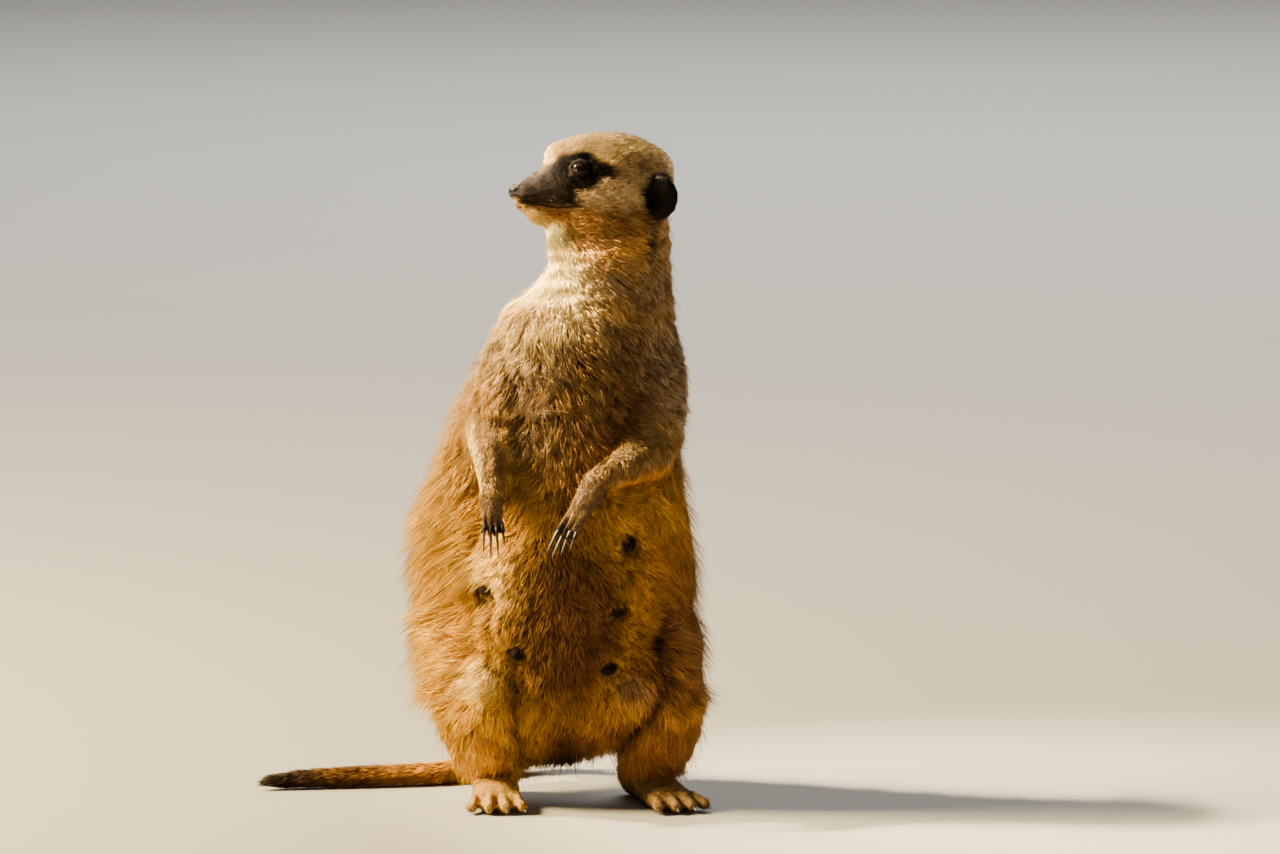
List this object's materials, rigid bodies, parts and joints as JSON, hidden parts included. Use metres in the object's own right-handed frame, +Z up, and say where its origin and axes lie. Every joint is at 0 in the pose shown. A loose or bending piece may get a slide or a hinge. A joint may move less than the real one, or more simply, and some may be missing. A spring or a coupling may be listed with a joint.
{
  "type": "standing meerkat model",
  "caption": "Life-size still model of a meerkat sitting up on its hind feet, head turned to its right, forepaws hanging in front of the belly, tail lying along the ground.",
  "frame": {"origin": "middle of the model's box, at floor level", "axes": "+Z up; the body faces -Y; the animal's right side, its turned head and its tail lie towards -X"},
  "size_m": [0.205, 0.1308, 0.3],
  "materials": {
    "coat": "dense, slightly shaggy fur, golden orange to grizzled grey-brown",
    "pale_coat": "short cream to pale tan fur",
    "dark_skin": "near-black bare skin with a fine grain",
    "eye": "wet, very dark brown",
    "claw": "smooth dark horn, paler on the hind feet"
  },
  "bodies": {
    "root": {"claw_foot_left_1": "claw", "claw_foot_left_2": "claw", "claw_foot_left_3": "claw", "claw_foot_left_4": "claw", "claw_foot_right_1": "claw", "claw_foot_right_2": "claw", "claw_foot_right_3": "claw", "claw_foot_right_4": "claw", "claw_hand_left_1": "claw", "claw_hand_left_2": "claw", "claw_hand_left_3": "claw", "claw_hand_left_4": "claw", "claw_hand_right_1": "claw", "claw_hand_right_2": "claw", "claw_hand_right_3": "claw", "claw_hand_right_4": "claw", "ear_left": "dark_skin", "ear_right": "dark_skin", "eye_left": "eye", "eye_right": "eye", "foot_left": "pale_coat", "foot_right": "pale_coat", "forearm_left": "coat", "forearm_right": "coat", "hand_left": "coat", "hand_right": "coat", "head": "coat", "lower_leg_left": "coat", "lower_leg_right": "coat", "neck": "pale_coat", "nose_pad": "dark_skin", "tail_end": "coat", "tail_middle": "coat", "tail_root": "coat", "thigh_left": "coat", "thigh_right": "coat", "trunk": "coat", "upper_arm_left": "coat", "upper_arm_right": "coat"}
  },
  "joints": []
}
